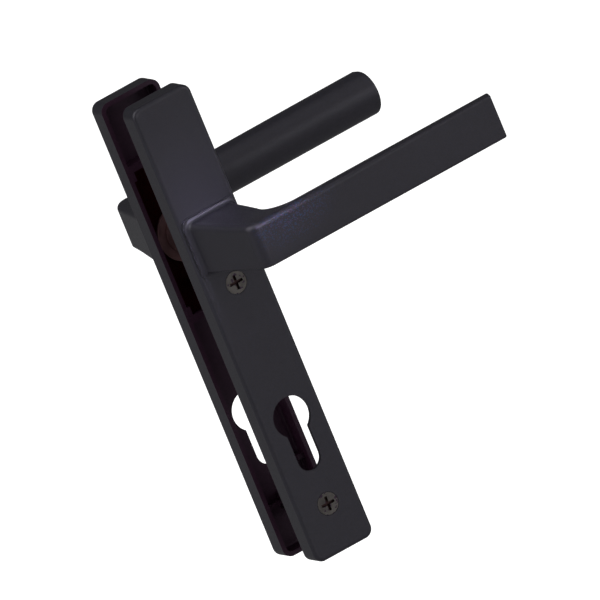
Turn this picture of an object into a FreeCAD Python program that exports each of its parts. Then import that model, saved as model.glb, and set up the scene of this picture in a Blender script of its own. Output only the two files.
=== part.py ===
import FreeCAD, Part
import math
import os

# A pair of sprung lever handles on long narrow backplates, for a glazed door.
# Millimetres. Origin on the spindle axis, midway between the two backplates.
# +X runs along the levers to their free ends, +Z is up and the spindle lies
# along Y. The outer set is on the -Y side of the door and the inner set on +Y.
# Each set is drawn for the +Y side, with "depth" values as distances from the
# mid plane, and the outer set is its mirror image.

V = FreeCAD.Vector

# Backplate
plate_width = 29.6
plate_top = 66.4
plate_bottom = -148.0
plate_thickness = 10.4
plate_wall = 2.0
plate_face = 2.0
plate_corner_r = 4.2
plate_edge_r = 1.75
cavity_corner_r = 2.4
cavity_floor_r = 1.1
door_thickness = 19.7

# Cylinder keyhole
cylinder_distance = 85.0
keyhole_round_r = 8.95
keyhole_slot_half = 5.6
keyhole_height = 34.0

# Raised block behind the lever, with the stepped recess for the spring cassette
block_half_height = 37.0
recess_wide_half_height = 29.8
recess_end_half_height = 33.8
recess_end_half_width = 11.3

# Through screws and their bosses
upper_screw_z = -21.4
lower_screw_z = -126.2
screw_r = 2.5
screw_head_r = 4.9
screw_head_flat = 0.35
screw_head_sink = 0.1
screw_clearance = 0.2
thread_gap = 0.05
screw_end_gap = 1.0
screw_recess_arm = 6.4
screw_recess_width = 1.3
screw_recess_depth = 1.6
boss_r = 5.2
boss_draft = 0.5
upper_boss_r = 4.4
boss_below_rim = 0.4
upper_boss_below_rim = 1.2
boss_face_left = 1.2

# Ribs inside the plate
rib_thickness = 2.1
rib_height = 3.0
side_rib_z = -112.4
side_rib_length = 3.2
side_rib_height = 4.4

# Lever bearing in the plate
bore_r = 9.0
bush_flange_r = 12.0
bush_flange_depth = 0.9
bush_proud = 0.1
bush_gap = 0.03
collar_r = 11.0
collar_height = 1.0
journal_r = 7.25
journal_gap = 0.05
foot_gap = 0.2
overlap = 0.5
tolerance = 0.001

# Lever neck and grip
foot_half_width = 13.9
foot_half_height = 13.8
foot_thickness = 0.5
foot_corner_r = 3.6
foot_fillet_r = 2.1
neck_left_base = -11.6
neck_left_front = -3.0
neck_right = 11.2
neck_half_height = 11.5
neck_taper_end = 48.0
neck_taper_r = 150.0
neck_top_edge_r = 2.8
neck_bottom_edge_r = 0.9
neck_round_r = 1.3
neck_round_end = 44.0
neck_round_fade = 0.05
grip_half_height = 10.1
grip_front = 64.1
grip_back_centre = 60.3
grip_back_bulge = 7.5
grip_end = 121.7
grip_end_slant = 0.283
grip_edge_r = 1.1
grip_end_edge_r = 0.9
elbow_r = 6.0
inside_r = 12.5
inside_overlap = 3.0

# Spindle, its sockets and the grub screws
spindle_side = 8.0
spindle_chamfer = 0.5
spindle_gap = 0.05
spindle_half_length = 43.0
socket_end_gap = 1.0
journal_flats = 11.4
journal_end_below_rim = 0.1
journal_round_length = 3.5
grub_r = 2.5
grub_depth = 32.0
grub_length = 6.0
grub_key = 2.5
grub_key_depth = 2.4
hexagon_sides = 6
grub_point = 0.6
grub_point_gap = 0.03

# Follower disc and retaining ring
follower_r = 12.6
follower_below_rim = 1.1
follower_thickness = 1.0
follower_gap = 0.03
hub_r = 7.95
hub_slot_width = 1.4
hub_end_gap = 0.3
stop_peg_r = 0.7
stop_peg_at_r = 10.7
stop_peg_length = 0.8
stop_gap = 0.15
stop_middle = 90.0
lever_travel = 45.0
ring_r = 8.6
ring_thickness = 0.6
ring_groove_r = 6.3
ring_groove_gap = 0.03
ring_mouth = 5.0
ring_ear_r = 1.5
ring_ear_hole_r = 0.6

# Spring cassette
cover_below_rim = 2.25
cover_thickness = 0.8
cover_hole_gap = 0.3
housing_gap = 0.15
spring_pocket_r = 11.3
spring_wire_r = 0.5
spring_coil_r = 9.9
spring_pitch = 1.1
spring_turns = 2.6
spring_end_gap = 0.25
spring_inner_end_r = 6.2
spring_outer_end_r = 12.2
spring_slot_gap = 0.2
cassette_screw_z = 30.6
cassette_screw_r = 1.1
cassette_head_r = 2.1
cassette_head_height = 1.1
cassette_screw_length = 5.4
cassette_recess_arm = 2.6
cassette_recess_width = 0.5
cassette_recess_depth = 0.6
cassette_boss_r = 2.3
cassette_boss_height = 2.6
cassette_gap = 0.2

# Depths from the mid plane, all worked out from the sizes above
rim = door_thickness / 2
face = rim + plate_thickness
floor = face - plate_face
foot_depth = face + foot_gap
journal_end = rim + journal_end_below_rim
follower_near = rim + follower_below_rim
follower_far = follower_near + follower_thickness
cover_near = rim + cover_below_rim
cover_far = cover_near + cover_thickness
half_width = plate_width / 2
cavity_half = half_width - plate_wall
collar_depth = floor - collar_height
journal_step = foot_depth - journal_round_length
cassette_screw_end = cover_near + cassette_screw_length


def box(x0, x1, y0, y1, z0, z1):
    return Part.makeBox(x1 - x0, y1 - y0, z1 - z0, V(x0, y0, z0))


def cylinder(radius, y0, y1, x=0.0, z=0.0):
    return Part.makeCylinder(radius, y1 - y0, V(x, y0, z), V(0, 1, 0))


def cone(r0, r1, y0, y1, x=0.0, z=0.0):
    return Part.makeCone(r0, r1, y1 - y0, V(x, y0, z), V(0, 1, 0))


def rounded_wire(x0, x1, z0, z1, radius, y):
    """A rounded rectangle in the plane at depth y."""
    mid = radius * (1 - math.sqrt(0.5))
    corners = [
        (V(x0 + radius, y, z0), V(x0 + mid, y, z0 + mid), V(x0, y, z0 + radius)),
        (V(x0, y, z1 - radius), V(x0 + mid, y, z1 - mid), V(x0 + radius, y, z1)),
        (V(x1 - radius, y, z1), V(x1 - mid, y, z1 - mid), V(x1, y, z1 - radius)),
        (V(x1, y, z0 + radius), V(x1 - mid, y, z0 + mid), V(x1 - radius, y, z0)),
    ]
    edges = []
    for index, corner in enumerate(corners):
        edges.append(Part.Arc(*corner).toShape())
        following = corners[(index + 1) % len(corners)]
        edges.append(Part.LineSegment(corner[2], following[0]).toShape())
    return Part.Wire(edges)


def rounded_prism(x0, x1, z0, z1, radius, y0, y1):
    wire = rounded_wire(x0, x1, z0, z1, radius, y0)
    return Part.Face(wire).extrude(V(0, y1 - y0, 0))


def polygon_prism(points, direction):
    """A straight-sided outline pushed along a direction."""
    wire = Part.makePolygon(points + [points[0]])
    return Part.Face(wire).extrude(direction)


def edges_at_depth(shape, depth):
    """The edges that lie wholly in the plane at this depth."""
    found = []
    for edge in shape.Edges:
        bounds = edge.BoundBox
        if max(abs(bounds.YMin - depth), abs(bounds.YMax - depth)) < tolerance:
            found.append(edge)
    return found


def one_solid(shape):
    shape = shape.removeSplitter()
    if len(shape.Solids) == 1:
        return shape.Solids[0]
    return shape


def keyhole(y0, y1):
    """Round cylinder nose with the slot below it."""
    bottom = keyhole_round_r - keyhole_height - cylinder_distance
    slot_round_z = bottom + keyhole_slot_half
    round_part = cylinder(keyhole_round_r, y0, y1, 0, -cylinder_distance)
    slot_end = cylinder(keyhole_slot_half, y0, y1, 0, slot_round_z)
    slot = box(-keyhole_slot_half, keyhole_slot_half, y0, y1, slot_round_z, -cylinder_distance)
    return round_part.fuse([slot_end, slot])


def cassette_outline(gap, y0, y1):
    """The stepped shape of the recess, smaller by gap all round."""
    wide = cavity_half - gap
    end = recess_end_half_width - gap
    body = box(-wide, wide, y0, y1, gap - recess_wide_half_height, recess_wide_half_height - gap)
    ends = box(-end, end, y0, y1, gap - recess_end_half_height, recess_end_half_height - gap)
    return body.fuse(ends).removeSplitter()


def journal_square(gap, y0, y1):
    """The lever's journal end: a square with its corners turned to the journal's radius."""
    half = journal_flats / 2 + gap
    square = box(-half, half, y0, y1, -half, half)
    return square.common(cylinder(journal_r + gap, y0, y1))


def spindle_prism(gap, y0, y1):
    half = spindle_side / 2 + gap
    bar = box(-half, half, y0, y1, -half, half)
    long_edges = [e for e in bar.Edges if e.BoundBox.YLength > half]
    return bar.makeChamfer(spindle_chamfer, long_edges)


def backplate(threaded):
    """One casting. The inner plate's screw holes are threaded and blind, the outer's are sunk."""
    body = rounded_prism(-half_width, half_width, plate_bottom, plate_top, plate_corner_r, rim, face)
    body = body.makeFillet(plate_edge_r, edges_at_depth(body, face))
    cavity = rounded_prism(
        -cavity_half, cavity_half, plate_bottom + plate_wall, plate_top - plate_wall,
        cavity_corner_r, rim - overlap, floor,
    )
    cavity = cavity.makeFillet(cavity_floor_r, edges_at_depth(cavity, floor))
    body = body.cut(cavity)

    buried = floor + overlap
    side = cavity_half + overlap
    block = box(-side, side, rim, buried, -block_half_height, block_half_height)
    block = block.cut(cassette_outline(0, rim - overlap, floor))
    half_rib = rib_thickness / 2
    rib = box(
        -side, side, floor - rib_height, buried, lower_screw_z - half_rib, lower_screw_z + half_rib
    )
    side_rib = box(
        cavity_half - side_rib_length, side, floor - side_rib_height, buried,
        side_rib_z - half_rib, side_rib_z + half_rib,
    )
    pieces = [
        block,
        rib,
        side_rib,
        cone(boss_r - boss_draft, boss_r, rim + boss_below_rim, buried, 0, lower_screw_z),
        cylinder(upper_boss_r, rim + upper_boss_below_rim, buried, 0, upper_screw_z),
        cylinder(collar_r, collar_depth, buried),
    ]
    for z in (-cassette_screw_z, cassette_screw_z):
        pieces.append(cylinder(cassette_boss_r, floor - cassette_boss_height, buried, 0, z))
    body = body.fuse(pieces)

    outside = face + overlap
    cuts = [
        cylinder(bore_r, rim, outside),
        cylinder(bush_flange_r + bush_gap, face - bush_flange_depth, outside),
        keyhole(rim, outside),
    ]
    for z in (-cassette_screw_z, cassette_screw_z):
        thread = cassette_screw_r + thread_gap
        cuts.append(cylinder(thread, rim, cassette_screw_end + cassette_gap, 0, z))
    for z in (upper_screw_z, lower_screw_z):
        if threaded:
            cuts.append(cylinder(screw_r + thread_gap, rim, face - boss_face_left, 0, z))
        else:
            cuts.append(cylinder(screw_r + screw_clearance, rim, outside, 0, z))
            cuts.append(countersink(z))
    return one_solid(body.cut(cuts))


def countersink(z):
    """The sunk seat of a through screw's head, from the face inwards."""
    wide = screw_head_r + screw_clearance
    narrow = screw_r + screw_clearance
    flat = face - screw_head_flat
    seat = cone(narrow, wide, flat - (wide - narrow), flat, 0, z)
    return seat.fuse(cylinder(wide, flat, face + overlap, 0, z))


def bearing_bush():
    """Flanged bush pressed into the plate's bore. Its flange takes the lever's thrust."""
    sleeve = cylinder(bore_r - bush_gap, collar_depth, face)
    flange = cylinder(bush_flange_r, face - bush_flange_depth, face + bush_proud)
    hole = cylinder(journal_r + journal_gap, rim, face + overlap)
    return one_solid(sleeve.fuse(flange).cut(hole))


def neck_left(depth):
    """The neck's left face leans towards the grip."""
    share = (depth - foot_depth) / (grip_front - foot_depth)
    return neck_left_base + share * (neck_left_front - neck_left_base)


def neck_side_edge(sign):
    """Top (1) or bottom (-1) outline of the neck: a slope, an arc, then level."""
    lean = math.atan((neck_half_height - grip_half_height) / (neck_taper_end - foot_depth))
    tangent = neck_taper_r * math.tan(lean / 2)
    start = V(0, foot_depth, sign * neck_half_height)
    slope_end = V(
        0, neck_taper_end - tangent * math.cos(lean),
        sign * (grip_half_height + tangent * math.sin(lean)),
    )
    middle = V(
        0, neck_taper_end + tangent - neck_taper_r * math.sin(lean / 2),
        sign * (grip_half_height + neck_taper_r * (1 - math.cos(lean / 2))),
    )
    level = V(0, neck_taper_end + tangent, sign * grip_half_height)
    end = V(0, grip_front, sign * grip_half_height)
    slope = Part.LineSegment(start, slope_end).toShape()
    arc = Part.Arc(slope_end, middle, level).toShape()
    flat = Part.LineSegment(level, end).toShape()
    return [slope, arc, flat], start, end


def neck_solid():
    """Four walls from the foot up to the grip's front, narrower towards the front."""
    tall = V(0, 0, 2 * foot_half_height)
    low = -foot_half_height
    plan = polygon_prism([
        V(neck_left(foot_depth), foot_depth, low),
        V(neck_right, foot_depth, low),
        V(neck_right, grip_front, low),
        V(neck_left(grip_front), grip_front, low),
    ], tall)
    top, top_start, top_end = neck_side_edge(1)
    bottom, bottom_start, bottom_end = neck_side_edge(-1)
    closing = [
        Part.LineSegment(top_end, bottom_end).toShape(),
        Part.LineSegment(bottom_start, top_start).toShape(),
    ]
    outline = Part.Face(Part.Wire(Part.__sortEdges__(top + bottom + closing)))
    outline.translate(V(-foot_half_width, 0, 0))
    neck = plan.common(outline.extrude(V(2 * foot_half_width, 0, 0)))
    near = box(
        -foot_half_width, foot_half_width, foot_depth, neck_round_end,
        -foot_half_height, foot_half_height,
    )
    return fade_right_edges(neck.common(near)).fuse(neck.cut(near))


def fade_right_edges(near):
    """Rounding of the two right edges, fading out before the inside corner."""
    for sign in (1, -1):
        for edge in near.Edges:
            bounds = edge.BoundBox
            on_right = abs(bounds.XMin - neck_right) < tolerance
            if on_right and bounds.YLength > neck_half_height and sign * bounds.ZMin > 0:
                radii = [neck_round_r, neck_round_fade]
                if edge.valueAt(edge.FirstParameter).y > foot_depth + overlap:
                    radii.reverse()
                near = near.makeFillet(radii[0], radii[1], [edge])
                break
    return near


def grip_back_edge(x):
    """The grip's rounded back: half an ellipse in the plane at x, from top to bottom."""
    centre = V(x, grip_back_centre, 0)
    top = V(x, grip_back_centre, grip_half_height)
    back = V(x, grip_back_centre - grip_back_bulge, 0)
    ellipse = Part.Ellipse(top, back, centre)
    arc = Part.ArcOfEllipse(ellipse, 0, math.pi)
    if arc.value(math.pi / 2).y > grip_back_centre:
        arc = Part.ArcOfEllipse(ellipse, math.pi, 2 * math.pi)
    return arc.toShape()


def grip_solid():
    """Flat front, rounded back, and a slanting cut at the free end."""
    back = grip_back_edge(0)
    first = back.Vertexes[0].Point
    last = back.Vertexes[-1].Point
    front_first = V(0, grip_front, first.z)
    front_last = V(0, grip_front, last.z)
    section = Part.Face(Part.Wire([
        back,
        Part.LineSegment(last, front_last).toShape(),
        Part.LineSegment(front_last, front_first).toShape(),
        Part.LineSegment(front_first, first).toShape(),
    ]))
    reach = grip_end + 2 * grip_half_height
    grip = section.extrude(V(reach, 0, 0))
    beyond = 2 * grip_back_bulge
    low = -foot_half_height
    waste = polygon_prism([
        V(grip_end - grip_end_slant * beyond, grip_front + beyond, low),
        V(grip_end + grip_end_slant * 2 * beyond, grip_front - 2 * beyond, low),
        V(reach + beyond, grip_front - 2 * beyond, low),
        V(reach + beyond, grip_front + beyond, low),
    ], V(0, 0, 2 * foot_half_height))
    return grip.cut(waste)


def inside_blend():
    """Fills the corner between neck and grip; its arc follows the grip's rounded back."""
    spine = Part.Wire([grip_back_edge(neck_right)])
    start = spine.Vertexes[0].Point
    x, y, z = start.x, start.y, start.z
    middle = inside_r * (1 - math.sqrt(0.5))
    corner = V(x - inside_overlap, y + inside_overlap, z)
    wall = V(x - inside_overlap, y - inside_r, z)
    arc_start = V(x, y - inside_r, z)
    arc_end = V(x + inside_r, y, z)
    back = V(x + inside_r, y + inside_overlap, z)
    profile = Part.Wire([
        Part.LineSegment(corner, wall).toShape(),
        Part.LineSegment(wall, arc_start).toShape(),
        Part.Arc(arc_start, V(x + middle, y - middle, z), arc_end).toShape(),
        Part.LineSegment(arc_end, back).toShape(),
        Part.LineSegment(back, corner).toShape(),
    ])
    sweep = Part.BRepOffsetAPI.MakePipeShell(spine)
    sweep.setTrihedronMode(V(0, 0, 0), V(1, 0, 0))
    sweep.add(profile, False, False)
    sweep.build()
    sweep.makeSolid()
    return sweep.shape()


def lever_edge_radius(edge):
    """Radius for an edge of the neck's left side, the grip's front or its end; 0 for the rest."""
    bounds = edge.BoundBox
    if bounds.XMin > grip_end - tolerance:
        return grip_end_edge_r
    if bounds.XLength > grip_end / 2 and bounds.YMin > grip_front - tolerance:
        return grip_edge_r
    if bounds.XMax < elbow_r and bounds.ZLength < elbow_r < bounds.YLength + elbow_r / 2:
        return neck_top_edge_r if bounds.ZMin > 0 else neck_bottom_edge_r
    return 0


def round_lever_edges(body):
    """The rounding is wider on the neck and narrows through the elbow to the grip."""
    document = FreeCAD.newDocument("rounding")
    base = document.addObject("Part::Feature", "base")
    base.Shape = body
    rounding = document.addObject("Part::Fillet", "rounding")
    rounding.Base = base
    edges = []
    for index, edge in enumerate(body.Edges, 1):
        radius = lever_edge_radius(edge)
        if radius > 0:
            edges.append((index, radius, radius))
    rounding.Edges = edges
    document.recompute()
    result = rounding.Shape.copy()
    FreeCAD.closeDocument(document.Name)
    return result


def lever():
    """One casting: journal, foot, neck, elbow and grip."""
    body = neck_solid().fuse([grip_solid(), inside_blend()]).removeSplitter()
    elbow = []
    for edge in edges_at_depth(body, grip_front):
        if edge.BoundBox.XMax < 0 and edge.BoundBox.ZLength > grip_half_height:
            elbow.append(edge)
    body = round_lever_edges(body.makeFillet(elbow_r, elbow))

    foot = rounded_prism(
        -foot_half_width, foot_half_width, -foot_half_height, foot_half_height,
        foot_corner_r, foot_depth, foot_depth + foot_thickness,
    )
    body = body.fuse(foot).removeSplitter()
    corner = []
    for edge in edges_at_depth(body, foot_depth + foot_thickness):
        bounds = edge.BoundBox
        if max(abs(bounds.XMin), abs(bounds.XMax)) < foot_half_width - foot_fillet_r:
            if max(abs(bounds.ZMin), abs(bounds.ZMax)) < foot_half_height - foot_fillet_r:
                corner.append(edge)
    body = body.makeFillet(foot_fillet_r, corner)

    buried = foot_depth + overlap
    body = body.fuse([
        cylinder(journal_r, journal_step, buried),
        journal_square(0, journal_end, journal_step),
    ])
    groove_near = follower_near - ring_thickness - ring_groove_gap
    groove = cylinder(journal_r + overlap, groove_near, follower_near)
    groove = groove.cut(cylinder(ring_groove_r, groove_near, follower_near))
    socket = spindle_prism(spindle_gap, rim, spindle_half_length + socket_end_gap)
    grub_hole = Part.makeCylinder(
        grub_r + thread_gap, foot_half_height, V(0, grub_depth, -foot_half_height), V(0, 0, 1)
    )
    return one_solid(body.cut([groove, socket, grub_hole]))


def spindle():
    return spindle_prism(0, -spindle_half_length, spindle_half_length)


def follower_disc():
    """Disc and hub in one, with the stop peg that runs in the cover's curved slot."""
    hub_end = journal_step - hub_end_gap
    peg = cylinder(stop_peg_r, follower_far - overlap, follower_far + stop_peg_length, stop_peg_at_r)
    peg.rotate(V(0, 0, 0), V(0, 1, 0), -stop_middle - lever_travel / 2)
    body = cylinder(follower_r, follower_near, follower_far)
    body = body.fuse([cylinder(hub_r, follower_near, hub_end), peg])
    slot = box(
        spring_inner_end_r - spring_slot_gap, hub_r + overlap, spring_near() - hub_slot_width / 2,
        hub_end + overlap, -hub_slot_width / 2, hub_slot_width / 2,
    )
    hole = journal_square(follower_gap, rim, journal_step)
    return one_solid(body.cut([hole, slot]))


def retaining_ring():
    """Flat open ring in the journal's groove, with two ears for the pliers."""
    near = follower_near - ring_thickness
    ring = cylinder(ring_r, near, follower_near)
    half_mouth = ring_mouth / 2
    ears = []
    ear_holes = []
    for sign in (-1, 1):
        ear_x = sign * (half_mouth + ring_ear_r)
        ear_z = -math.sqrt(ring_r ** 2 - ear_x ** 2)
        ears.append(cylinder(ring_ear_r, near, follower_near, ear_x, ear_z))
        ear_holes.append(cylinder(
            ring_ear_hole_r, near - overlap, follower_near + overlap, ear_x, ear_z
        ))
    mouth = box(
        -half_mouth, half_mouth, near - overlap, follower_near + overlap, -2 * ring_r, 0
    )
    hole = cylinder(ring_groove_r + ring_groove_gap, near - overlap, follower_near + overlap)
    return one_solid(ring.fuse(ears).cut([hole, mouth] + ear_holes))


def cassette_housing():
    """Moulding that fills the stepped recess, with the spring's pocket through it."""
    near = cover_far
    body = cassette_outline(housing_gap, near, floor)
    sides = [e for e in edges_at_depth(body, floor) if e.BoundBox.ZLength > recess_wide_half_height]
    body = body.makeChamfer(cavity_floor_r, sides)
    through_near = near - overlap
    through_far = floor + overlap
    cuts = [cylinder(spring_pocket_r, through_near, through_far)]
    for z in (-upper_screw_z, upper_screw_z):
        cuts.append(cylinder(upper_boss_r + cover_hole_gap, through_near, through_far, 0, z))
    boss_top = floor - cassette_boss_height - cassette_gap
    for z in (-cassette_screw_z, cassette_screw_z):
        cuts.append(cylinder(cassette_screw_r + screw_clearance, through_near, through_far, 0, z))
        cuts.append(cylinder(cassette_boss_r + cassette_gap, boss_top, through_far, 0, z))
    slot_half = spring_wire_r + spring_slot_gap
    slot = box(
        spring_coil_r, spring_outer_end_r + spring_slot_gap, spring_far() - slot_half,
        through_far, -slot_half, slot_half,
    )
    slot.rotate(V(0, 0, 0), V(0, 1, 0), 360.0 * spring_turns)
    cuts.append(slot)
    return one_solid(body.cut(cuts))


def spring_near():
    """Depth of the wire's centre at the coil end next to the cover."""
    return cover_far + spring_end_gap + spring_wire_r


def spring_far():
    return spring_near() + spring_pitch * spring_turns


def return_spring():
    """Torsion spring round the hub: one leg in the hub's slot, one in the housing's."""
    helix = Part.makeHelix(spring_pitch, spring_pitch * spring_turns, spring_coil_r)
    heading = V(0, spring_coil_r, spring_pitch / (2 * math.pi))
    section = Part.Wire([Part.Circle(V(spring_coil_r, 0, 0), heading, spring_wire_r).toShape()])
    coil = Part.Wire(helix.Edges).makePipeShell([section], True, True)
    coil.rotate(V(0, 0, 0), V(1, 0, 0), -90)
    coil.translate(V(0, spring_near(), 0))

    inner_leg = Part.makeCylinder(
        spring_wire_r, spring_coil_r - spring_inner_end_r,
        V(spring_inner_end_r, spring_near(), 0), V(1, 0, 0),
    )
    outer_leg = Part.makeCylinder(
        spring_wire_r, spring_outer_end_r - spring_coil_r,
        V(spring_coil_r, spring_far(), 0), V(1, 0, 0),
    )
    near_bend = Part.makeSphere(spring_wire_r, V(spring_coil_r, spring_near(), 0))
    far_bend = Part.makeSphere(spring_wire_r, V(spring_coil_r, spring_far(), 0))
    for far_piece in (outer_leg, far_bend):
        far_piece.rotate(V(0, 0, 0), V(0, 1, 0), 360.0 * spring_turns)
    return one_solid(coil.fuse([inner_leg, outer_leg, near_bend, far_bend]))


def cassette_cover():
    """Sheet lid over the spring, with the curved slot that limits the lever's travel."""
    body = cassette_outline(housing_gap, cover_near, cover_far)
    near = cover_near - overlap
    far = cover_far + overlap
    cuts = [cylinder(hub_r + cover_hole_gap, near, far)]
    for z in (-upper_screw_z, upper_screw_z):
        cuts.append(cylinder(upper_boss_r + cover_hole_gap, near, far, 0, z))
    for z in (-cassette_screw_z, cassette_screw_z):
        cuts.append(cylinder(cassette_screw_r + screw_clearance, near, far, 0, z))
    slot_half = stop_peg_r + stop_gap
    inner = stop_peg_at_r - slot_half
    outer = stop_peg_at_r + slot_half
    corners = [V(inner, near, 0), V(outer, near, 0), V(outer, far, 0), V(inner, far, 0)]
    section = Part.Face(Part.makePolygon(corners + [corners[0]]))
    track = section.revolve(V(0, 0, 0), V(0, 1, 0), lever_travel)
    rest_end = cylinder(slot_half, near, far, stop_peg_at_r)
    turned_end = rest_end.copy()
    turned_end.rotate(V(0, 0, 0), V(0, 1, 0), lever_travel)
    track = track.fuse([rest_end, turned_end])
    track.rotate(V(0, 0, 0), V(0, 1, 0), -stop_middle - lever_travel / 2)
    cuts.append(track)
    return one_solid(body.cut(cuts))


def cross_recess(arm, width, y0, y1, z):
    """Cross-shaped driver recess between two depths."""
    long = arm / 2
    short = width / 2
    across = box(-long, long, y0, y1, z - short, z + short)
    along = box(-short, short, y0, y1, z - long, z + long)
    return across.fuse(along)


def through_screws():
    """Two countersunk screws from the outer plate into the inner plate's threaded bosses."""
    head_top = face - screw_head_sink
    cone_top = head_top - screw_head_flat
    cone_low = cone_top - (screw_head_r - screw_r)
    tip = boss_face_left + screw_end_gap - face
    screws = []
    for z in (upper_screw_z, lower_screw_z):
        screw = cylinder(screw_r, tip, cone_top, 0, z).fuse([
            cone(screw_r, screw_head_r, cone_low, cone_top, 0, z),
            cylinder(screw_head_r, cone_top, head_top, 0, z),
        ])
        recess = cross_recess(
            screw_recess_arm, screw_recess_width, head_top - screw_recess_depth,
            head_top + overlap, z,
        )
        screws.append(one_solid(screw.cut(recess)))
    return to_outer_side(Part.makeCompound(screws))


def cassette_screws():
    """Small pan head screws that hold each cover and housing to the plate's bosses."""
    head_near = cover_near - cassette_head_height
    inner_pair = []
    for z in (-cassette_screw_z, cassette_screw_z):
        screw = cylinder(cassette_head_r, head_near, cover_near, 0, z)
        screw = screw.fuse(cylinder(cassette_screw_r, head_near, cassette_screw_end, 0, z))
        recess = cross_recess(
            cassette_recess_arm, cassette_recess_width, head_near - overlap,
            head_near + cassette_recess_depth, z,
        )
        inner_pair.append(one_solid(screw.cut(recess)))
    outer_pair = [to_outer_side(screw) for screw in inner_pair]
    return Part.makeCompound(inner_pair + outer_pair)


def grub_screws():
    """Hexagon socket grub screws, from below each neck onto the spindle."""
    top = -spindle_side / 2 - grub_point_gap
    low = top - grub_length
    up = V(0, 0, 1)
    body = Part.makeCylinder(grub_r, grub_length - grub_point, V(0, grub_depth, low), up)
    point = Part.makeCone(
        grub_r, grub_r - grub_point, grub_point, V(0, grub_depth, top - grub_point), up
    )
    corner_r = grub_key / math.sqrt(3)
    corners = []
    for index in range(hexagon_sides):
        angle = 2 * math.pi * index / hexagon_sides
        corners.append(V(
            corner_r * math.cos(angle), grub_depth + corner_r * math.sin(angle), low - overlap
        ))
    key = polygon_prism(corners, V(0, 0, grub_key_depth + overlap))
    screw = one_solid(body.fuse(point).cut(key))
    return Part.makeCompound([screw, to_outer_side(screw)])


def to_outer_side(shape):
    """Mirror image through the mid plane of the door."""
    return shape.mirror(V(0, 0, 0), V(0, 1, 0))


def export(name, shape):
    shape.exportStep("parts/" + name + ".step")


def main():
    os.makedirs("parts", exist_ok=True)
    both_sides = {
        "lever": lever(),
        "bearing_bush": bearing_bush(),
        "cassette_housing": cassette_housing(),
        "return_spring": return_spring(),
        "cassette_cover": cassette_cover(),
        "follower_disc": follower_disc(),
        "retaining_ring": retaining_ring(),
    }
    for name, shape in both_sides.items():
        export("inner_" + name, shape)
        export("outer_" + name, to_outer_side(shape))
    export("inner_backplate", backplate(True))
    export("outer_backplate", to_outer_side(backplate(False)))
    export("spindle", spindle())
    export("through_screws", through_screws())
    export("cassette_screws", cassette_screws())
    export("grub_screws", grub_screws())


main()
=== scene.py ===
import bmesh
import bpy
import math
from mathutils import Matrix, Vector


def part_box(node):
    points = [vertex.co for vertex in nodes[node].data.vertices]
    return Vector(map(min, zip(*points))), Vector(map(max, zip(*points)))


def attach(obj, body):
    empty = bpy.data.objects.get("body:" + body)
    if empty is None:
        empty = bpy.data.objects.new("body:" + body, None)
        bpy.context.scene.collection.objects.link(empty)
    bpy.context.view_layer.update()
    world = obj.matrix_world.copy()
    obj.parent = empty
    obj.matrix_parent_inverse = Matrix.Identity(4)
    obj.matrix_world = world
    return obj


# A pair of black lever handles on long backplates, dressed around its CAD model.
# Metres. The outer set, on the -Y side, is the one nearer to the camera.

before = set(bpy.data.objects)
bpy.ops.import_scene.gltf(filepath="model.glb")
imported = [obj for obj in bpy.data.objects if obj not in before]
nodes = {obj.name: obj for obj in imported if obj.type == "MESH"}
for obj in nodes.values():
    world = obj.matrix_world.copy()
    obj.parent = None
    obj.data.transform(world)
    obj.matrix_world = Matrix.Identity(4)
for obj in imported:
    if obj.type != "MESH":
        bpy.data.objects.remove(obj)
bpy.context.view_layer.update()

MM = 0.001
SIDES = ("outer", "inner")

# The backplates, and what is worked out from their boxes
plate_low, plate_high = (Vector(corner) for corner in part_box("inner_backplate"))
rim_depth = plate_low.y
face_depth = plate_high.y
plate_wall = 2.0 * MM
edge_margin = 0.12 * MM

# Through screws, whose shanks cross the gap between the plates
screw_heights = (-21.4 * MM, -126.2 * MM)
screw_radius = 2.5 * MM
thread_pitch = 0.8 * MM
thread_radius = 0.2 * MM
thread_proud = 0.12 * MM
thread_steps_a_turn = 28

# Painted shade in the screws' cross recesses: where it starts below the plate's face, how far it
# takes to darken fully, and how deep the screw head is
shade_below_face = 0.3 * MM
shade_fade = 0.6 * MM
shade_head_depth = 2.0 * MM

# Painted glint: the coat's vivid flecks are shown mostly beside the elbows, where the lever spot's highlight
# falls, standing in for the sparkle in that light; the place is across, forward and up from the middle of
# the set.
# They fade with the weighted distance from there.
glint_place = (15 * MM, 64 * MM, 11 * MM)
glint_weights = (1.0, 12.0, 1.5)
glint_full = 5 * MM
glint_end = 28 * MM
fleck_elsewhere = 0.04
fleck_metal = 0.4

# Studio
WORLD_LIGHT = (0.50, 0.50, 0.50)
WORLD_SHINE = (0.078, 0.078, 0.078)
FLOOR_LIGHT = (0.86, 0.86, 0.86)
FLOOR_SHINE = (0.22, 0.22, 0.22)
FLOOR_GLOW = 0.5
floor_half = 6.0
floor_height = -0.32
lamp_target = Vector((0.0, 0.0, -0.04))
softbox_distance = 3.0
softbox_size = 1.6
spot_lamp_radius = 25 * MM

# The photograph's view, a parallel one: its directions, and its middle from the origin
VIEW_RIGHT = Vector((0.8117, -0.4525, -0.3693))
VIEW_BACK = Vector((-0.37432, -0.88839, 0.26580))
view_middle_right = 43.9 * MM
view_middle_up = -28.06 * MM
view_width = 253.16 * MM
view_distance = 0.8
view_depth = 30


# Node helpers

def set_inputs(made, values):
    """Set a node's inputs by name, with _ for a space."""
    for name, value in values.items():
        made.inputs[name.replace("_", " ")].default_value = value


def node(tree, kind, x, y, **values):
    """A shader node at x, y with its named inputs set."""
    made = tree.nodes.new(kind)
    made.location = (x, y)
    set_inputs(made, values)
    return made


def feed(tree, slot, value):
    """Link a socket to an input, or write a plain number or colour into it."""
    if isinstance(value, bpy.types.NodeSocket):
        tree.links.new(value, slot)
    elif isinstance(value, tuple):
        slot.default_value = (*value, 1)
    else:
        slot.default_value = value


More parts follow.
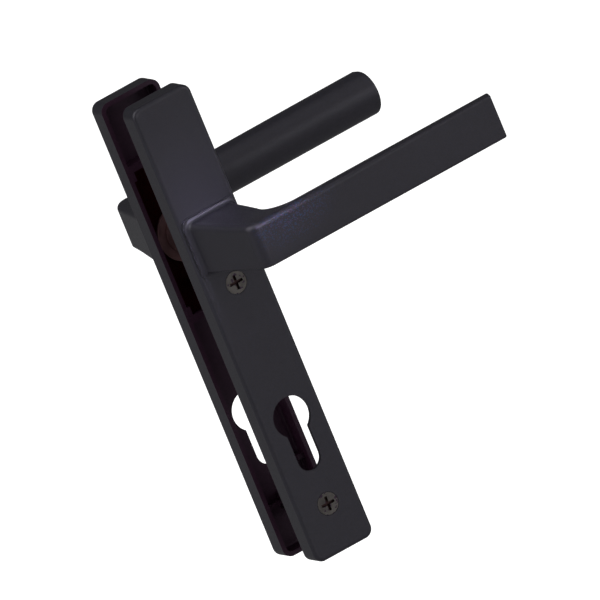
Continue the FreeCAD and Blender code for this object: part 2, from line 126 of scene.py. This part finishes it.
def maths(tree, operation, x, y, first, second=0.0):
    """One sum with two values, each a socket or a number."""
    made = node(tree, "ShaderNodeMath", x, y)
    made.operation = operation
    feed(tree, made.inputs[0], first)
    feed(tree, made.inputs[1], second)
    return made.outputs[0]


def mix_colour(tree, x, y, mask, low, high):
    """Low colour where the mask is 0, high colour where it is 1. The colour sockets share their
    names with those for values, so they are found by number."""
    made = node(tree, "ShaderNodeMix", x, y)
    made.data_type = "RGBA"
    feed(tree, made.inputs["Factor"], mask)
    feed(tree, made.inputs[6], low)
    feed(tree, made.inputs[7], high)
    return made.outputs[2]


def mix_values(tree, x, y, mask, low, high):
    """The same for two values."""
    made = node(tree, "ShaderNodeMix", x, y)
    feed(tree, made.inputs["Factor"], mask)
    feed(tree, made.inputs[2], low)
    feed(tree, made.inputs[3], high)
    return made.outputs[0]


def spread(tree, x, y, value, low, high, to_low=0.0, to_high=1.0):
    """Map low..high to to_low..to_high, clamped."""
    made = node(tree, "ShaderNodeMapRange", x, y, From_Min=low, From_Max=high, To_Min=to_low, To_Max=to_high)
    tree.links.new(value, made.inputs["Value"])
    return made.outputs[0]


def coordinates(tree, x, y, stretch=(1.0, 1.0, 1.0)):
    """Object coordinates, stretched along the axes."""
    place = node(tree, "ShaderNodeTexCoord", x - 200, y)
    mapping = node(tree, "ShaderNodeMapping", x, y, Scale=stretch)
    tree.links.new(place.outputs["Object"], mapping.inputs["Vector"])
    return mapping.outputs[0]


def axes(tree, x, y):
    """The three object coordinates as separate values."""
    parts = node(tree, "ShaderNodeSeparateXYZ", x, y)
    place = node(tree, "ShaderNodeTexCoord", x - 200, y)
    tree.links.new(place.outputs["Object"], parts.inputs[0])
    return parts.outputs


def noise(tree, x, y, scale, detail=2.0, stretch=(1.0, 1.0, 1.0)):
    """Soft random values."""
    made = node(tree, "ShaderNodeTexNoise", x, y, Detail=detail)
    feed(tree, made.inputs["Scale"], scale)
    tree.links.new(coordinates(tree, x - 200, y, stretch), made.inputs["Vector"])
    return made.outputs[0]


def random_cells(tree, x, y, scale):
    """Random values that are the same all over each small cell."""
    cells = node(tree, "ShaderNodeTexVoronoi", x, y)
    tree.links.new(coordinates(tree, x - 200, y), cells.inputs["Vector"])
    feed(tree, cells.inputs["Scale"], scale)
    parts = node(tree, "ShaderNodeSeparateColor", x + 200, y)
    tree.links.new(cells.outputs["Color"], parts.inputs[0])
    return parts.outputs


def new_group(name, inputs, outputs):
    """An empty node group with float inputs (name, default) and float outputs."""
    group = bpy.data.node_groups.new(name, "ShaderNodeTree")
    for label, default in inputs:
        socket = group.interface.new_socket(label, in_out="INPUT", socket_type="NodeSocketFloat")
        socket.default_value = default
    for label in outputs:
        group.interface.new_socket(label, in_out="OUTPUT", socket_type="NodeSocketFloat")
    source = node(group, "NodeGroupInput", -900, 0)
    sink = node(group, "NodeGroupOutput", 900, 0)
    return group, source.outputs, sink.inputs


def place_group(tree, group, x, y, **values):
    """A group in a tree, with its named inputs set. They exist once its node tree is set."""
    made = node(tree, "ShaderNodeGroup", x, y)
    made.node_tree = group
    set_inputs(made, values)
    return made.outputs


def new_material(name):
    """A material, its node tree and its shader."""
    made = bpy.data.materials.new(name)
    made.use_nodes = True
    tree = made.node_tree
    return made, tree, tree.nodes["Principled BSDF"]


def rough_surface(tree, shader, height, strength, distance):
    """Bump the shader's normal with a height."""
    bump = node(tree, "ShaderNodeBump", -200, -300, Strength=strength, Distance=distance)
    tree.links.new(height, bump.inputs["Height"])
    tree.links.new(bump.outputs[0], shader.inputs["Normal"])


# Effects that several finishes share

def powder_group():
    """Sprayed powder: a soft orange peel with fine grain on it, and pigment flecks."""
    group, source, sink = new_group(
        "powder",
        [("Grain", 2600.0), ("Peel", 420.0), ("Fleck share", 0.28)],
        ("Height", "Flecks", "Tint"),
    )
    grain = noise(group, -400, 250, source["Grain"], 1.0)
    peel = noise(group, -400, 0, source["Peel"])
    total = maths(group, "ADD", 100, 150, grain, maths(group, "MULTIPLY", -100, 0, peel, 0.6))
    group.links.new(total, sink["Height"])
    cells = random_cells(group, -400, -300, source["Grain"])
    plain_share = maths(group, "SUBTRACT", -200, -500, 1.0, source["Fleck share"])
    group.links.new(maths(group, "GREATER_THAN", 100, -300, cells[0], plain_share), sink["Flecks"])
    group.links.new(cells[1], sink["Tint"])
    return group


def worked_metal_group():
    """Metal as it comes from the press or the lathe: cloudy patches, fine grit and small pits."""
    group, source, sink = new_group(
        "worked metal",
        [("Cloud", 120.0), ("Grit", 3200.0), ("Pit share", 0.05)],
        ("Clouds", "Height", "Pits"),
    )
    clouds = noise(group, -400, 250, source["Cloud"], 4.0)
    group.links.new(spread(group, 0, 250, clouds, 0.3, 0.7), sink["Clouds"])
    grit = noise(group, -400, 0, source["Grit"], 3.0)
    cells = random_cells(group, -400, -300, maths(group, "MULTIPLY", -700, -500, source["Grit"], 0.5))
    pits = maths(group, "LESS_THAN", 0, -300, cells[0], source["Pit share"])
    group.links.new(pits, sink["Pits"])
    sunk = maths(group, "MULTIPLY", 100, -200, pits, 0.5)
    group.links.new(maths(group, "SUBTRACT", 300, 0, grit, sunk), sink["Height"])
    return group


def turned_rings_group():
    """Rings that a lathe leaves around an axis that runs along Y through X, Z."""
    group, source, sink = new_group(
        "turned rings",
        [("X", 0.0), ("Z", 0.0), ("Rings", 9000.0)],
        ("Height",),
    )
    place = axes(group, -700, 200)
    across = maths(group, "SUBTRACT", -500, 300, place[0], source["X"])
    up = maths(group, "SUBTRACT", -500, 100, place[2], source["Z"])
    across_squared = maths(group, "MULTIPLY", -300, 300, across, across)
    up_squared = maths(group, "MULTIPLY", -300, 100, up, up)
    distance = maths(group, "SQRT", 100, 200, maths(group, "ADD", -100, 200, across_squared, up_squared))
    wave = maths(group, "SINE", 500, 0, maths(group, "MULTIPLY", 300, 0, distance, source["Rings"]))
    group.links.new(wave, sink["Height"])
    return group


POWDER = powder_group()
WORKED = worked_metal_group()
TURNED = turned_rings_group()


# Finishes

def inside_hollow(tree, x, y):
    """1 on the rims and on all that lies inside the hollow backs of the plates, 0 elsewhere."""
    place = axes(tree, x, y)
    middle_z = (plate_high.z + plate_low.z) / 2
    half_z = (plate_high.z - plate_low.z) / 2
    depth = maths(tree, "ABSOLUTE", x + 200, y, place[1])
    inside = maths(tree, "LESS_THAN", x + 400, y, depth, face_depth - plate_wall + edge_margin)
    distances = (place[0], maths(tree, "SUBTRACT", x, y - 300, place[2], middle_z))
    for row, (distance, half) in enumerate(zip(distances, (plate_high.x, half_z)), 1):
        from_middle = maths(tree, "ABSOLUTE", x + 200, y - 150 * row, distance)
        limit = half - plate_wall + edge_margin
        within = maths(tree, "LESS_THAN", x + 400, y - 150 * row, from_middle, limit)
        inside = maths(tree, "MULTIPLY", x + 600, y - 150 * row, within, inside)
    on_rim = maths(tree, "LESS_THAN", x + 400, y - 450, depth, rim_depth + edge_margin)
    return maths(tree, "MAXIMUM", x + 800, y, inside, on_rim)


def painted_glint_near_elbow(tree, x, y):
    """1 on the front of each grip beside the elbow, fading to 0 along it, down it and off its front. This
    places the painted glint: vivid flecks that stand in for the sparkle around the lamp's highlight.
    """
    place = axes(tree, x, y)
    depth = maths(tree, "ABSOLUTE", x + 200, y, place[1])
    apart = node(tree, "ShaderNodeCombineXYZ", x + 600, y)
    steps = zip((place[0], depth, place[2]), glint_place, glint_weights)
    for row, (distance, middle, weight) in enumerate(steps):
        offset = maths(tree, "SUBTRACT", x + 300, y - 150 * row, distance, middle)
        feed(tree, apart.inputs[row], maths(tree, "MULTIPLY", x + 450, y - 150 * row, offset, weight))
    length = node(tree, "ShaderNodeVectorMath", x + 750, y)
    length.operation = "LENGTH"
    tree.links.new(apart.outputs[0], length.inputs[0])
    return spread(tree, x + 900, y, length.outputs["Value"], glint_full, glint_end, 1.0, 0.0)


def black_coat():
    """Satin black powder coat with faint blue and rose flecks, which are painted vivid around the elbows as
    a painted glint where the lamp's highlight falls.
    In the hollows and on the rims it is painted a lighter plum, standing in for the tint of the shade there,
    and it shines less there."""
    made, tree, shader = new_material("black powder coat")
    powder = place_group(tree, POWDER, -1000, 0)
    tint = powder["Tint"]
    outside = mix_colour(tree, -700, 300, tint, (0.0092, 0.0088, 0.0116), (0.0126, 0.0120, 0.0156))
    # Painted glint colours: vivid blue and rose flecks that stand in for sparkle in the lamp's highlight
    vivid_fleck_glint = mix_colour(tree, -700, 500, tint, (0.008, 0.050, 0.118), (0.066, 0.026, 0.055))
    # Only faint flecks show across the coat; beside the elbows the flecks are painted vivid as a painted
    # glint
    fleck_and_glint_share = maths(tree, "MAXIMUM", -900, 900, painted_glint_near_elbow(tree, -1900, 1300), fleck_elsewhere)
    shown_flecks_and_glint = maths(tree, "MULTIPLY", -700, 900, powder["Flecks"], fleck_and_glint_share)
    flecks_and_glint_colour = mix_colour(tree, -500, 300, shown_flecks_and_glint, outside, vivid_fleck_glint)
    # Painted light: the hollows and rims get a lighter plum copy of the coat, standing in for the tint of
    # the shade there
    hollow_painted_tone = mix_colour(tree, -500, 500, tint, (0.0145, 0.0050, 0.0115), (0.0185, 0.0064, 0.0145))
    hidden = inside_hollow(tree, -1900, 800)
    base = mix_colour(tree, -300, 400, hidden, flecks_and_glint_colour, hollow_painted_tone)
    tree.links.new(base, shader.inputs["Base Color"])
    tree.links.new(spread(tree, -400, 0, tint, 0.0, 1.0, 0.34, 0.44), shader.inputs["Roughness"])
    tree.links.new(maths(tree, "MULTIPLY", -400, -150, shown_flecks_and_glint, fleck_metal), shader.inputs["Metallic"])
    sheen = spread(tree, -300, 700, hidden, 0.0, 1.0, 0.42, 0.22)
    tree.links.new(sheen, shader.inputs["Specular IOR Level"])
    shader.inputs["Specular Tint"].default_value = (0.93, 0.89, 1.0, 1.0)
    rough_surface(tree, shader, powder["Height"], strength=0.3, distance=0.05 * MM)
    return made


def screw_steel():
    """Dull screw steel with turned rings, and painted shade at the bottom of the cross recess."""
    made, tree, shader = new_material("screw steel")
    worked = place_group(tree, WORKED, -1000, 0, Grit=2400.0, Pit_share=0.12)
    clean = mix_colour(tree, -700, 300, worked["Clouds"], (0.085, 0.078, 0.074), (0.125, 0.116, 0.110))
    speckled = mix_colour(tree, -500, 300, worked["Pits"], clean, (0.050, 0.034, 0.052))
    depth = maths(tree, "ABSOLUTE", -700, 600, axes(tree, -900, 600)[1])
    shade_top = face_depth - shade_below_face
    sunk = spread(tree, -500, 600, depth, shade_top - shade_fade, shade_top, 1.0, 0.0)
    on_head = maths(tree, "GREATER_THAN", -500, 800, depth, shade_top - shade_head_depth)
    recess_shade = maths(tree, "MULTIPLY", -400, 600, sunk, on_head)
    # Painted shade: the cross recess is darkened below the plate's face
    base = mix_colour(tree, -300, 400, recess_shade, speckled, (0.038, 0.022, 0.022))
    tree.links.new(base, shader.inputs["Base Color"])
    tree.links.new(spread(tree, -300, 0, worked["Clouds"], 0.0, 1.0, 0.36, 0.52), shader.inputs["Roughness"])
    shader.inputs["Metallic"].default_value = 1.0
    upper, lower = (
        place_group(tree, TURNED, -1000, -300 - 200 * row, Z=height)["Height"]
        for row, height in enumerate(screw_heights)
    )
    is_upper = maths(tree, "GREATER_THAN", -700, -600, axes(tree, -900, -700)[2], sum(screw_heights) / 2)
    rings = maths(tree, "MULTIPLY", -450, -300, mix_values(tree, -600, -400, is_upper, lower, upper), 0.3)
    height = maths(tree, "ADD", -350, -400, rings, worked["Height"])
    rough_surface(tree, shader, height, strength=0.35, distance=0.03 * MM)
    return made


def zinc_plate():
    """Bright zinc on cold drawn steel: fine lines along the bar and a faint blue cast."""
    made, tree, shader = new_material("zinc plated steel")
    worked = place_group(tree, WORKED, -1000, 0, Cloud=90.0)
    lines = noise(tree, -700, -300, 1500.0, 2.0, (1.0, 0.03, 1.0))
    clean = mix_colour(tree, -500, 300, worked["Clouds"], (0.40, 0.41, 0.44), (0.56, 0.57, 0.60))
    base = mix_colour(tree, -300, 300, worked["Pits"], clean, (0.24, 0.24, 0.25))
    tree.links.new(base, shader.inputs["Base Color"])
    tree.links.new(spread(tree, -300, 0, lines, 0.3, 0.7, 0.26, 0.42), shader.inputs["Roughness"])
    shader.inputs["Metallic"].default_value = 1.0
    height = maths(tree, "ADD", -400, -300, lines, worked["Height"])
    rough_surface(tree, shader, height, strength=0.3, distance=0.02 * MM)
    return made


def metal(name, low, high, pitted, roughness, strength, **grain):
    """A pressed or coiled metal: two tones in clouds, darker pits and a gritty surface. Its
    roughness changes a little with the clouds."""
    made, tree, shader = new_material(name)
    worked = place_group(tree, WORKED, -1000, 0, **grain)
    clean = mix_colour(tree, -500, 300, worked["Clouds"], low, high)
    base = mix_colour(tree, -300, 300, worked["Pits"], clean, pitted)
    tree.links.new(base, shader.inputs["Base Color"])
    gloss = spread(tree, -300, 0, worked["Clouds"], 0.0, 1.0, roughness - 0.07, roughness + 0.07)
    tree.links.new(gloss, shader.inputs["Roughness"])
    shader.inputs["Metallic"].default_value = 1.0
    rough_surface(tree, shader, worked["Height"], strength, distance=0.03 * MM)
    return made


def black_plastic():
    """Moulded black plastic with a fine spark-eroded texture."""
    made, tree, shader = new_material("black plastic")
    powder = place_group(tree, POWDER, -900, 0, Grain=5200.0, Peel=900.0)
    base = mix_colour(tree, -400, 200, powder["Tint"], (0.0060, 0.0012, 0.0014), (0.0090, 0.0022, 0.0024))
    tree.links.new(base, shader.inputs["Base Color"])
    tree.links.new(spread(tree, -400, 0, powder["Tint"], 0.0, 1.0, 0.5, 0.64), shader.inputs["Roughness"])
    shader.inputs["Specular IOR Level"].default_value = 0.25
    rough_surface(tree, shader, powder["Height"], strength=0.4, distance=0.04 * MM)
    return made


coat = black_coat()
screw_metal = screw_steel()
zinc = zinc_plate()
plastic = black_plastic()
disc_metal = metal(
    "brown steel", low=(0.185, 0.102, 0.105), high=(0.225, 0.125, 0.130), pitted=(0.165, 0.09, 0.09),
    roughness=0.55, strength=0.2, Cloud=160.0, Pit_share=0.02,
)
spring_metal = metal(
    "spring steel", low=(0.19, 0.19, 0.20), high=(0.30, 0.30, 0.31), pitted=(0.10, 0.09, 0.09),
    roughness=0.36, strength=0.3,
)
dark_steel = metal(
    "blackened steel", low=(0.014, 0.0012, 0.0012), high=(0.020, 0.0018, 0.0018),
    pitted=(0.008, 0.001, 0.001), roughness=0.58, strength=0.3,
)

SIDE_FINISHES = {
    "backplate": coat, "lever": coat, "bearing_bush": plastic, "cassette_housing": plastic,
    "return_spring": spring_metal, "cassette_cover": dark_steel, "follower_disc": disc_metal,
    "retaining_ring": disc_metal,
}
finish_of = {
    "spindle": zinc, "through_screws": screw_metal, "cassette_screws": zinc, "grub_screws": spring_metal,
}
for side in SIDES:
    for part, finish in SIDE_FINISHES.items():
        finish_of[f"{side}_{part}"] = finish
for name, finish in finish_of.items():
    materials = nodes[name].data.materials
    materials.clear()
    materials.append(finish)


# Objects that the scene adds

def add_object(name, data):
    made = bpy.data.objects.new(name, data)
    bpy.context.scene.collection.objects.link(made)
    return made


def mesh_object(name, mesh, material):
    """An object with the given mesh, which is used up, and one material."""
    data = bpy.data.meshes.new(name)
    mesh.to_mesh(data)
    mesh.free()
    data.materials.append(material)
    return add_object(name, data)


def screw_thread(name, height):
    """A rolled thread between the plates: a small triangle wound along the shank, with both of
    its ends closed."""
    turns = math.floor(2 * rim_depth / thread_pitch) - 1
    middle = Vector((screw_radius + thread_proud - thread_radius, -turns * thread_pitch / 2, height))
    mesh = bmesh.new()
    point_outwards = Matrix.Rotation(math.radians(-90), 4, "Z")
    stand = Matrix.Translation(middle) @ point_outwards
    bmesh.ops.create_circle(mesh, segments=3, radius=thread_radius, cap_ends=False, matrix=stand)
    bmesh.ops.spin(
        mesh, geom=mesh.verts[:] + mesh.edges[:], cent=(0, 0, height), axis=(0, 1, 0),
        dvec=(0, thread_pitch / thread_steps_a_turn, 0), angle=turns * 2 * math.pi,
        steps=turns * thread_steps_a_turn, use_merge=False, use_duplicate=False,
    )
    bmesh.ops.holes_fill(mesh, edges=[edge for edge in mesh.edges if edge.is_boundary], sides=3)
    bmesh.ops.recalc_face_normals(mesh, faces=mesh.faces[:])
    made = mesh_object(name, mesh, screw_metal)
    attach(made, "plates")


for label, height in zip(("upper", "lower"), screw_heights):
    screw_thread(f"{label}_screw_thread", height)


# Floor, lamps and camera

def shiny_ray(tree, path):
    """1 for rays that come off or through a shiny surface."""
    reflected, through = path.outputs["Is Glossy Ray"], path.outputs["Is Transmission Ray"]
    return maths(tree, "MAXIMUM", -700, -100, reflected, through)


def floor():
    """A pale matt floor. It glows a little for the camera, which keeps it white in the picture."""
    material, tree, shader = new_material("pale floor")
    shader.inputs["Roughness"].default_value = 1.0
    shader.inputs["Specular IOR Level"].default_value = 0.0
    shader.inputs["Emission Color"].default_value = (1, 1, 1, 1)
    path = node(tree, "ShaderNodeLightPath", -900, 0)
    seen = mix_colour(tree, -300, 200, shiny_ray(tree, path), FLOOR_LIGHT, FLOOR_SHINE)
    tree.links.new(seen, shader.inputs["Base Color"])
    glow = maths(tree, "MULTIPLY", -300, -200, path.outputs["Is Camera Ray"], FLOOR_GLOW)
    tree.links.new(glow, shader.inputs["Emission Strength"])
    mesh = bmesh.new()
    place = Matrix.Translation((0, 0, floor_height))
    bmesh.ops.create_grid(mesh, x_segments=1, y_segments=1, size=floor_half, matrix=place)
    made = mesh_object("floor", mesh, material)


def put_lamp(light, place, target, power, colour):
    """Place a lamp, aim it, and keep its own shape out of the picture."""
    light.energy = power
    light.color = colour
    made = add_object(light.name, light)
    made.location = place
    made.rotation_euler = (target - place).to_track_quat("-Z", "Y").to_euler()
    made.visible_camera = False


def softbox(name, azimuth, elevation, power, size=softbox_size):
    """A large round white lamp. Azimuth 0 is in front, and +90 is on the -X side."""
    light = bpy.data.lights.new(name, "AREA")
    light.shape = "DISK"
    light.size = size
    turn, tilt = math.radians(azimuth), math.radians(elevation)
    way = Vector((-math.sin(turn) * math.cos(tilt), -math.cos(turn) * math.cos(tilt), math.sin(tilt)))
    put_lamp(light, softbox_distance * way, lamp_target, power, (1, 1, 1))


def spot_lamp(name, way, distance, target, cone, power, colour):
    """A small lamp with a soft-edged beam."""
    light = bpy.data.lights.new(name, "SPOT")
    light.spot_size = math.radians(cone)
    light.spot_blend = 1.0
    light.shadow_soft_size = spot_lamp_radius
    place = Vector(target) + distance * Vector(way).normalized()
    put_lamp(light, place, Vector(target), power, colour)


def backdrop():
    """White behind the object, and a plain grey light all round. Shiny surfaces meet a dimmer
    grey, because a white one would turn the satin black grey along its edges."""
    world = bpy.data.worlds.new("studio")
    bpy.context.scene.world = world
    world.use_nodes = True
    tree = world.node_tree
    path = node(tree, "ShaderNodeLightPath", -900, 0)
    grey = mix_colour(tree, -400, -100, shiny_ray(tree, path), WORLD_LIGHT, WORLD_SHINE)
    seen = mix_colour(tree, -150, 0, path.outputs["Is Camera Ray"], grey, (1.0, 1.0, 1.0))
    tree.links.new(seen, tree.nodes["Background"].inputs["Color"])


def camera():
    """A parallel view: lines that are parallel on the object are parallel in the photograph."""
    right = VIEW_RIGHT.normalized()
    back = (VIEW_BACK - VIEW_BACK.dot(right) * right).normalized()
    up = back.cross(right)
    lens = bpy.data.cameras.new("camera")
    lens.type = "ORTHO"
    lens.ortho_scale = view_width
    lens.clip_end = view_depth
    made = add_object("camera", lens)
    place = view_middle_right * right + view_middle_up * up + view_distance * back
    turn = Matrix((right, up, back)).transposed().to_4x4()
    made.matrix_world = Matrix.Translation(place) @ turn
    bpy.context.scene.camera = made


floor()
backdrop()
camera()
softbox("right front softbox", azimuth=-45, elevation=0, power=24)
softbox("right high softbox", azimuth=-45, elevation=35, power=5)
softbox("front softbox", azimuth=0, elevation=0, power=18.5)
softbox("top softbox", azimuth=0, elevation=70, power=15)
softbox("left softbox", azimuth=90, elevation=10, power=9)
softbox("left high softbox", azimuth=90, elevation=45, power=56, size=2.8)
spot_lamp(
    "lever spot", way=(0.12, -0.80, 0.48), distance=0.3, target=(-0.002, -0.028, 0.012), cone=12.5,
    power=6.5, colour=(0.80, 0.77, 1.0),
)
bpy.context.scene.view_settings.view_transform = "Standard"
